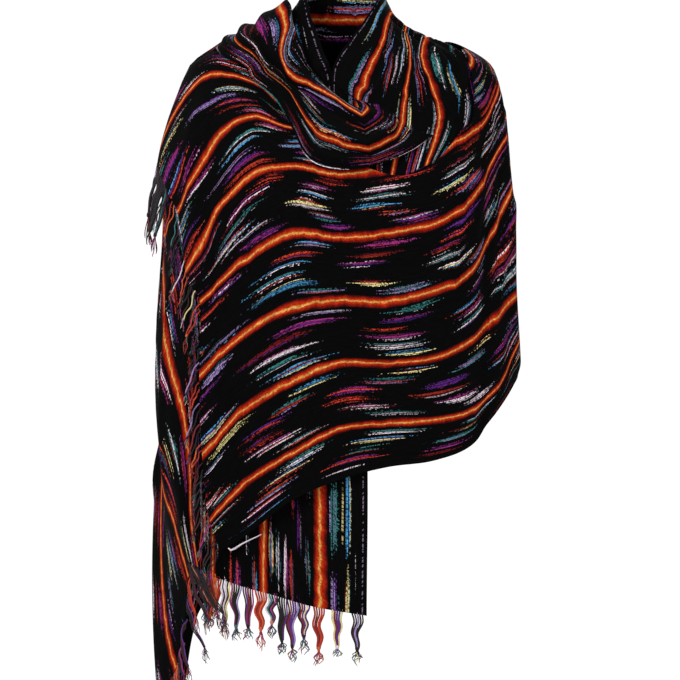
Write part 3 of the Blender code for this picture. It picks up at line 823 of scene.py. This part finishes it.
# The two dyes of each bundle, and those of the threads that strayed into it
BUNDLE_DYES = (CHALK, FLAME, PURPLE, LAVENDER, STRAW, CHALK)
SECOND_DYES = (MAGENTA, WINE, MAGENTA, TEAL, SKY, TEAL)
STRAY_DYES = (WINE, CHALK, PURPLE, FLAME, SKY, FLAME)
# A stripe's colours from its middle to its edge
STRIPE_COLOURS = [
    (0.0, linear(255, 222, 140)),
    (0.14, linear(255, 168, 74)),
    (0.27, linear(228, 72, 20)),
    (0.52, linear(196, 40, 13)),
    (0.78, linear(128, 16, 9)),
    (1.0, linear(46, 6, 6)),
]

# %% [markdown]
# The woven colour takes the place on the cloth and gives a colour. An orange stripe lies at every whole
# number across the cloth, pale in its middle and dark red at its edges. Six bundles fill the band between
# two stripes. Each thread has a number, and chance tied to that number makes it waver, stray and wear on
# its own.

# %% Which thread a place lies on
THREADS_PER_STRIPE = 96.0
PICKS_PER_METRE = 620.0
STRIPE_HALF = 0.085
BUNDLES = 6.0

jaspe, w, along, across, jaspe_end = cloth_group(
    "jaspe weave", {"Color": "NodeSocketColor", "Dyed": "NodeSocketFloat"})
waver = (w.noise(w.vector(along, across), 9.0) - 0.5) * 0.05
thread = w.floor((across + waver) * THREADS_PER_STRIPE)
on_thread = (thread + 0.5) / THREADS_PER_STRIPE
stripe = w.math("ROUND", on_thread)
from_stripe = abs(on_thread - stripe)
band = w.floor(on_thread)
bundle_place = (w.fract(on_thread) - STRIPE_HALF) / (1 - 2 * STRIPE_HALF) * BUNDLES
bundle = w.floor(bundle_place)
in_bundle = abs(w.fract(bundle_place) - 0.5)
pick = w.floor(along * PICKS_PER_METRE + w.chance(thread, 2.0))

# %% [markdown]
# The dashes come back at a steady distance, but each bundle starts a step further on than its neighbour, up
# to a turning bundle and back again, so that the dashes of a band stand in arrowheads.

# %% Which threads were dyed where, and painted shade near the neck
DASH_PERIOD = 0.126
DASH_LENGTH = 0.046
DASH_STEP = 0.024
NECK_BAND = 9.0
UPPER_CLOTH = 0.1

turning = w.chance(band, 5.0) * 0.9 + 2.6
steps = abs(bundle + 0.5 - turning) * 0.45 + abs(bundle_place - turning) * 0.55
start = steps * DASH_STEP + w.swing(bundle, band + 0.3, 0.034) + w.chance(band, 8.0) * 0.05
cycle_place = (along - start) / DASH_PERIOD
cycle = w.floor(cycle_place)
from_middle = abs(w.fract(cycle_place) - 0.5) * DASH_PERIOD
tag = band * 17.0 + cycle
half = w.chance(bundle, tag) * 0.012 + (DASH_LENGTH / 2 - 0.003)
half = half + (across > NECK_BAND) * 0.016
ragged = half + w.swing(thread, tag, 0.026)
rounded = in_bundle * in_bundle * 0.085
past_end = from_middle - (ragged - rounded) + w.swing(pick, thread, 0.022)
dash = 1.0 - w.ramp_between(past_end, -0.006, 0.002)
feathered = w.swing(thread, tag + 0.61, 0.30) + w.swing(thread, pick, 0.10)
kept = in_bundle + (w.chance(tag, bundle) * 0.14 + feathered) < 0.37
dyed_thread = w.chance(thread, tag + 0.37) > 0.12
# Near the neck, on the upper stripes, a few more dashes are left out. This is painted shade, so that this
# part reads darker, as if in shadow.
upper = w.ramp_between(across, 6.2, 7.2) * (along < UPPER_CLOTH)
tied_and_unshaded = w.chance(tag + 0.9, bundle) > upper * 0.05 + 0.03
in_band = (from_stripe > STRIPE_HALF) * (across < 9.38) * (across > 0.30)
dyed = dash * kept * dyed_thread * tied_and_unshaded * in_band

# %% The dyes of a dash
turned = (bundle + band * 5.0) % BUNDLES
dye_place = (turned + 0.5) / BUNDLES
shared_at = w.chance(bundle, tag + 0.7) * 0.30 + 0.35
run = w.floor(thread / 2.0)
second_side = w.fract(bundle_place) + w.swing(run, tag + 0.11, 0.95) > shared_at
dye = w.mix(second_side, w.palette(dye_place, BUNDLE_DYES), w.palette(dye_place, SECOND_DYES))
strayed = w.chance(run, tag + 0.83) > 0.76
dye = w.mix(strayed, dye, w.palette(w.chance(run, tag + 0.23), STRAY_DYES))
speckle = w.ramp_between(w.chance(pick, thread + 0.5), 0.10, 0.55) * 0.95 + 0.18
streaked = w.shade(dye, (w.chance(thread, cycle) * 0.95 + 0.20) * speckle)

# %% The orange stripes and the black ground
drift = (w.noise(w.vector(along, 0.0), 70.0) - 0.5) * 0.05
stripe_place = abs(on_thread - stripe - drift) / STRIPE_HALF + abs(w.swing(pick, thread, 0.20))
slubbed = w.noise(w.vector(along, across * 0.02), 260.0)
orange = w.shade(w.colours(stripe_place, STRIPE_COLOURS), (speckle * 0.42 + 0.44) * (slubbed * 0.7 + 0.42))
on_stripe = (from_stripe < STRIPE_HALF) * (stripe < 9.4) * (stripe > 0.6)
heather = w.chance(thread, w.floor(along * 90.0)) * 0.9 + 0.55
edge_thread = w.math("COMPARE", across, 9.452, 0.006) * (w.chance(pick, 4.0) > 0.55)
colour = w.mix(dyed, w.shade((*BLACK_GROUND, 1), heather), streaked)
colour = w.mix(on_stripe, colour, orange)
colour = w.mix(edge_thread, colour, (*EDGE_THREAD, 1))
w.feed(jaspe_end.inputs["Color"], colour)
w.feed(jaspe_end.inputs["Dyed"], w.math("MAXIMUM", dyed, on_stripe))
print("jaspe weave", len(jaspe.nodes), "nodes")

# %% [markdown]
# A second group gives the height of a plain cotton weave, warp over weft, with slack slubs, and a crumple
# that is too fine for the mesh.

# %% The weave's height
STRIPE_SPACING = 0.08
WARP_STEP = 0.0011
WEFT_STEP = 0.0013

weave, w, along, across, weave_end = cloth_group(
    "cotton weave height", {"Threads": "NodeSocketFloat", "Crumple": "NodeSocketFloat"})
metres_across = across * STRIPE_SPACING
warp = w.math("SINE", metres_across * (2 * math.pi / WARP_STEP))
weft = w.math("SINE", along * (2 * math.pi / WEFT_STEP))
slubs = w.noise(w.vector(along * 0.15, metres_across), 900.0, 1.0)
pulled = w.vector(along + metres_across * 0.6, metres_across * 1.8)
w.feed(weave_end.inputs["Threads"], warp * weft + slubs * 1.2)
w.feed(weave_end.inputs["Crumple"], w.noise(pulled, 22.0, 3.0, 0.55))


# %% The cloth's material
def woven_cotton(name):
    """Black cotton with orange stripes and jaspe dashes, matt and slightly downy."""
    made, tree, surface = new_material(name, {
        "Sheen Weight": 0.008, "Sheen Roughness": 0.5, "Specular IOR Level": 0.06})
    wires = Wires(tree)
    place = wires.node("ShaderNodeUVMap", uv_map="weave").outputs["UV"]
    split = wires.node("ShaderNodeSeparateXYZ", {0: place}).outputs
    pattern, height = (wires.node("ShaderNodeGroup", node_tree=group) for group in (jaspe, weave))
    for node in (pattern, height):
        wires.feed(node.inputs["Along"], split[0])
        wires.feed(node.inputs["Across"], split[1])
    wires.feed(surface.inputs["Base Color"], pattern.outputs["Color"])
    wires.feed(surface.inputs["Roughness"], 0.94 - Number(wires, pattern.outputs["Dyed"]) * 0.12)
    coarse = wires.bump(height.outputs["Crumple"], 0.5, 0.004)
    wires.feed(surface.inputs["Normal"], wires.bump(height.outputs["Threads"], 0.35, 0.0002, coarse))
    return made


shawl.data.materials.append(woven_cotton("shawl cotton"))
cowl.data.materials.append(woven_cotton("cowl cotton"))

# %% [markdown]
# ## The fringe
#
# The warp threads go on past the last weft. They are gathered in small bunches, each twisted into soft wavy
# cords and tied with a knot, with a tuft below it. One bunch is worked out as a path that hangs over the
# figure, and its cords are thin tubes that wind about that path. A cord's dye is a number on its mesh, from
# 0 to 1, and each kind of cord has a quarter of that range.

# %% The fringe's dyes and material
ORANGE_CORD, PALE_CORD, DYED_CORD, DARK_CORD = 0, 1, 2, 3
CORD_DYES = (
    linear(200, 58, 26), linear(168, 38, 20), linear(220, 100, 44), linear(132, 26, 18),
    CHALK, STRAW, LAVENDER, linear(190, 120, 90),
    MAGENTA, PURPLE, TEAL, WINE,
    linear(16, 13, 16), linear(58, 14, 16), linear(12, 11, 14), linear(30, 18, 42),
)


def cord_cotton(name):
    """Twisted cotton in the dye that each cord's number picks."""
    made, tree, surface = new_material(name, {"Roughness": 0.9, "Sheen Weight": 0.08})
    wires = Wires(tree)
    picked = wires.node("ShaderNodeAttribute", attribute_name="dye").outputs["Fac"]
    place = wires.node("ShaderNodeTexCoord").outputs["Object"]
    worn = wires.noise(place, 180.0, dimensions="3D") * 0.8 + 0.5
    wires.feed(surface.inputs["Base Color"], wires.shade(wires.palette(picked, CORD_DYES), worn))
    given = {"Vector": place, "Scale": 300.0, "Distortion": 2.0}
    twist = wires.node("ShaderNodeTexWave", given, wave_type="BANDS", bands_direction="DIAGONAL")
    wires.feed(surface.inputs["Normal"], wires.bump(twist.outputs["Fac"], 0.5, 0.0004))
    return made


near_cotton = cord_cotton("near fringe cotton")
far_cotton = cord_cotton("far fringe cotton")


# %% The mesh of a fringe
def unit(lines):
    """Vectors made one metre long."""
    return lines / np.maximum(np.linalg.norm(lines, axis=1)[:, None], 1e-6)


class Fringe:
    """Collects the tubes of a fringe in one mesh, each with a number from 0 to 1 that picks its dye."""

    def __init__(self, seed):
        """An empty fringe with its own run of chance."""
        self.points, self.faces, self.dyes = [], [], []
        self.luck = np.random.default_rng(seed)

    def pick(self, kind):
        """A dye's number, from the quarter of the dyes that belongs to a kind of cord."""
        return (kind + self.luck.uniform(0.02, 0.98)) / 4

    def tube(self, line, radii, sides, dye):
        """A closed tube along a line of points."""
        line = np.asarray(line)
        heading = unit(np.gradient(line, axis=0))
        guide = unit(np.cross(heading, [0.3, 0.9, 0.2]))
        other = np.cross(heading, guide)
        first, last = len(self.points), len(self.points) + (len(line) - 1) * sides
        for point, radius, a, b in zip(line, radii, guide, other):
            for k in range(sides):
                angle = 2 * math.pi * k / sides
                self.points.append(point + radius * (math.cos(angle) * a + math.sin(angle) * b))
                self.dyes.append(dye)
        for ring in range(first, last, sides):
            for k in range(sides):
                a, b = ring + k, ring + (k + 1) % sides
                self.faces.append((a, b, b + sides, a + sides))
        self.faces.append(tuple(first + k for k in reversed(range(sides))))
        self.faces.append(tuple(last + k for k in range(sides)))

    def build(self, name, material):
        """The finished mesh object."""
        data = bpy.data.meshes.new(name)
        data.from_pydata([tuple(p) for p in self.points], [], self.faces)
        shade = data.attributes.new("dye", "FLOAT", "POINT")
        shade.data.foreach_set("value", np.array(self.dyes, dtype=np.float32))
        mesh = bmesh.new()
        mesh.from_mesh(data)
        bmesh.ops.recalc_face_normals(mesh, faces=mesh.faces)
        mesh.to_mesh(data)
        mesh.free()
        data.shade_smooth()
        data.materials.append(material)
        thing = add_object(name, data)
        print(name, len(data.polygons), "faces")
        return thing


# %% Knots and tufts
def tie_knot(fringe, middle, around, lump, kind):
    """A knot as a short thick tube."""
    line = [middle + around * lump * t for t in (-1.2, -0.7, 0.0, 0.7, 1.2)]
    fringe.tube(line, [lump * t for t in (0.6, 0.9, 1.0, 0.9, 0.6)], 8, fringe.pick(kind))


def add_tuft(fringe, middle, frame_at, length, spread, thickness, kinds, count):
    """Loose curled ends below a knot. Every third one has a dye of its own."""
    around, sideways, forward = frame_at
    down = 0.35 * around + np.array([0, 0, -0.65])
    steps = np.linspace(0, 1, 10)[:, None]
    radii = np.full(10, thickness * 0.46)
    radii[-1] *= 0.5
    for k in range(count):
        turn = 2 * math.pi * k / count + fringe.luck.uniform(0, 0.8)
        lean = math.cos(turn) * sideways + math.sin(turn) * forward
        reach = length * fringe.luck.uniform(0.5, 1.15)
        curl = fringe.luck.uniform(-1, 1)
        strand = middle + steps * reach * down + lean * (spread * 0.95 * np.sin(steps * 2.0) ** 2)
        strand = strand + sideways * (curl * spread * 0.8 * np.sin(steps * 8.0) * steps)
        fringe.tube(strand, radii, 4, fringe.pick(kinds[k % len(kinds)] if k % 3 else DYED_CORD))


# %% A bunch of cords
def add_bunch(fringe, path, across, spread, thickness, kinds, knot_at, tuft):
    """Soft cords that start side by side, wind about a path, meet in a knot and end in a loose tuft."""
    share = np.linspace(0, 1, len(path))
    heading = unit(np.gradient(path, axis=0))
    sideways = unit(across - heading * (heading @ across)[:, None])
    forward = np.cross(heading, sideways)
    knot = int(knot_at * (len(path) - 1))
    drawn = np.clip(share / knot_at, 0, 1)
    loose = spread * np.sin(math.pi * drawn)
    phase = fringe.luck.uniform(0, 2 * math.pi)
    waves = fringe.luck.uniform(1.1, 1.9) * drawn * 2 * math.pi
    together = 0.45 * loose * np.sin(phase + waves)
    for k, kind in enumerate(kinds):
        start = (k - (len(kinds) - 1) / 2) / max(len(kinds) - 1, 1)
        own = fringe.luck.uniform(-0.5, 0.5)
        beside = start * (spread * 2 * (1 - drawn) ** 0.8 + thickness * 2.1)
        swing = together + 0.18 * loose * np.sin(own + 9 * drawn)
        depth = 0.25 * loose * np.cos(phase + own + waves)
        line = path + (beside + swing)[:, None] * sideways + depth[:, None] * forward
        radius = thickness * fringe.luck.uniform(0.85, 1.15)
        fringe.tube(line[:knot + 1], np.full(knot + 1, radius), 6, fringe.pick(kind))
    middle = path[knot] + sideways[knot] * together[knot]
    tie_knot(fringe, middle, heading[knot], thickness * 1.9, kinds[0])
    length = np.linalg.norm(path[-1] - middle)
    frame_at = heading[knot], sideways[knot], forward[knot]
    add_tuft(fringe, middle, frame_at, length, spread, thickness, kinds, tuft)


# %% [markdown]
# A bunch starts at the cloth's edge, leaves it outwards, and hangs down. No two are the same length, and
# those round the right arm sway to one side and lie in two or three layers, because they lean on the cloth
# behind them.

# %% Where a bunch starts and how it hangs
TASSEL_LENGTH = 0.070
DROPS = np.array([0.10, 0.30, 0.55, 0.80, 1.0])
STANDING = np.array([0.3, 0.6, 0.85, 1.0, 1.0])
LAYERED = 0.0035 * np.array([0.4, 0.8, 1, 1, 1])


def kinds_of_cord(luck, stripe, cords, dark):
    """Which cords a bunch has: orange where it ends a stripe, else dark, dyed or pale by chance."""
    if abs(stripe - round(stripe)) < 0.13 and 0.6 < stripe < 9.4:
        return [ORANGE_CORD] * cords
    return [DARK_CORD if luck.uniform() < dark else luck.choice([PALE_CORD, DYED_CORD, DYED_CORD])
            for _ in range(cords)]


def fringed_end(surface, outer, inner, across):
    """Where a stretch ends at each place across it, and which way is outwards there."""
    ends, within = (surface(np.full_like(across, along), across)[1] for along in (outer, inner))
    return ends, unit(ends - within)


def middles(low, high, count):
    """Stripes at the middle of each of count equal steps."""
    return low + (np.arange(count) + 0.5) / count * (high - low)


def hang(fringe, stripes, turns, heights, out, start, lean, stand, layers, cords, spread, thickness,
         dark, tuft, reach=1.0):
    """A fringe: at each stripe given, a bunch starts at the cloth's edge and hangs down over the figure."""
    ends, aways = start
    edge = unit(np.gradient(ends, axis=0))
    for k, stripe in enumerate(stripes):
        drops = DROPS * (reach * TASSEL_LENGTH * (1 + 0.14 * math.sin(2.4 * k) + 0.08 * math.sin(5.1 * k)))
        sway = lean * (1 + 0.2 * math.sin(3.7 * k))
        lift = out + stand * STANDING + (k % layers) * LAYERED
        path = over_figure(turns[k] + sway * drops, heights[k] - drops, lift)
        path[0] = ends[k] * 0.55 + path[0] * 0.45 + aways[k] * 0.003
        knots = np.vstack([ends[k] - aways[k] * 0.002, ends[k] + aways[k] * 0.002, path])
        distance = np.concatenate([[0], np.cumsum(np.linalg.norm(np.diff(knots, axis=0), axis=1))])
        fine = np.linspace(0, distance[-1], 22)
        line = np.stack([smooth(distance, knots[:, axis], fine) for axis in range(3)], axis=1)
        kinds = kinds_of_cord(fringe.luck, stripe, cords, dark)
        add_bunch(fringe, line, edge[k], spread, thickness, kinds, 0.74 + 0.07 * math.sin(1.7 * k), tuft)


# %% Hang the wrap's fringe
wrap_cords = Fringe(3)
for low, count, looks in (
    (HEM, 26, dict(lean=-90, stand=0.006, layers=3, cords=2, spread=0.0028, thickness=0.0009,
                   dark=0.85, tuft=6, reach=0.72)),
    # More and thicker bunches where the end comes over the arm
    (6.15, 5, dict(lean=-150, stand=0.011, layers=2, cords=3, spread=0.0042, thickness=0.0014,
                   dark=0.8, tuft=8)),
):
    stripes = middles(low, 6.9, count)
    turns = between(WRAP_END, stripes)
    start = fringed_end(wrap_surface, 0.0, 0.01, (stripes - HEM) / (WRAP_EDGE - HEM))
    hang(wrap_cords, stripes, turns, wrap_heights(turns, stripes), WRAP_OUT, start, **looks)

# %% [markdown]
# One pale thread end sticks out at the hem of the wrap. Its points are places on the front: a distance to
# the right, a height, and how far it stands off, in millimetres.

# %% The thread end at the hem
THREAD_END = (
    (-103, -626, 0), (-110, -629.5, 2), (-119, -633.5, 4), (-129, -638.5, 5), (-138, -644.5, 6),
    (-143.5, -647, 6), (-147, -644, 7),
)
THREAD_RADII = (0.0004, 0.0007, 0.0008, 0.0010, 0.0014, 0.0014, 0.0008)
PALE_DYE = 0.26


def front_place(x, height, out):
    """The point on the figure's front with a given x, at a distance out."""
    turns = np.linspace(-75, 75, 301)
    sides = over_figure(turns, np.full(301, height), np.full(301, out))[:, 0]
    return over_figure(np.array([np.interp(x, sides, turns)]), np.array([height]), np.array([out]))[0]


thread_end = [front_place(x / 1000, height / 1000, SKIN + WRAP_OUT + 0.004 + lift / 1000)
              for x, height, lift in THREAD_END]
wrap_cords.tube(thread_end, THREAD_RADII, 8, PALE_DYE)
wrap_fringe = wrap_cords.build("wrap_fringe_cords", near_cotton)

# %% Hang the shoulder's fringe
stripes = middles(7, NECK_EDGE, 16)
turns, heights = woven(COWL, np.zeros(16), stripes)
shoulder_cords = Fringe(5)
start = fringed_end(cowl_surface, 0.0, 0.1, stripes)
hang(shoulder_cords, stripes, turns, heights, COWL_OUT, start, lean=0, stand=0.013, layers=2, cords=3,
     spread=0.0050, thickness=0.0017, dark=0.35, tuft=9)
shoulder_fringe = shoulder_cords.build("shoulder_fringe_cords", near_cotton)

# %% Hang the far end's three fringes
far_fringes = []
for name, seed, low, high, count, looks in (
    ("front_fringe_cords", 7, 6.6, NECK_EDGE, 14,
     dict(lean=0, stand=0.0, layers=1, cords=5, spread=0.0054, thickness=0.0013, dark=0.42)),
    ("side_fringe_cords", 11, 2.6, 6.35, 17,
     dict(lean=150, stand=0.006, layers=3, cords=3, spread=0.0040, thickness=0.0010, dark=0.8)),
    ("back_fringe_cords", 13, HEM, 2.56, 12,
     dict(lean=0, stand=0.0, layers=1, cords=3, spread=0.0046, thickness=0.0013, dark=0.7)),
):
    stripes = middles(low, high, count)
    turns, heights = woven(FAR_HALF, np.full(count, 11.0), stripes)
    cords = Fringe(seed)
    start = fringed_end(far_surface, 11.0, 10.9, stripes)
    hang(cords, stripes, turns, heights, FAR_OUT, start, tuft=11, **looks)
    far_fringes.append(cords.build(name, far_cotton))

# %% [markdown]
# ## Fit the pieces to the frame
#
# Every piece rides on the one body and takes the place of its solids.

# %% Ride and replace
for piece, nodes, slot in (
    (shawl, ("chest_wrap", "neck_fall", "back_drape", "front_tail", "side_tail"), "cloth"),
    (cowl, ("shoulder_cowl",), "cloth"),
    (wrap_fringe, ("wrap_fringe",), "near_fringe"),
    (shoulder_fringe, ("shoulder_fringe",), "near_fringe"),
    (far_fringes[0], ("front_fringe",), "far_fringe"),
    (far_fringes[1], ("side_fringe",), "far_fringe"),
    (far_fringes[2], ("back_fringe",), "far_fringe"),
):
    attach(piece, "root")
    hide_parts(*nodes)


def sheet_area(points):
    """The area of a grid of points in square metres."""
    a, b = points[1:, 1:] - points[:-1, :-1], points[1:, :-1] - points[:-1, 1:]
    return float(np.linalg.norm(np.cross(a, b), axis=2).sum() / 2)


shawl_area = sum(sheet_area(points) for points in (far_points, wrap_points, neck_points))
cowl_area = sheet_area(cowl_points)
print("cloth", round(shawl_area, 3), "square metres, cowl", round(cowl_area, 3))
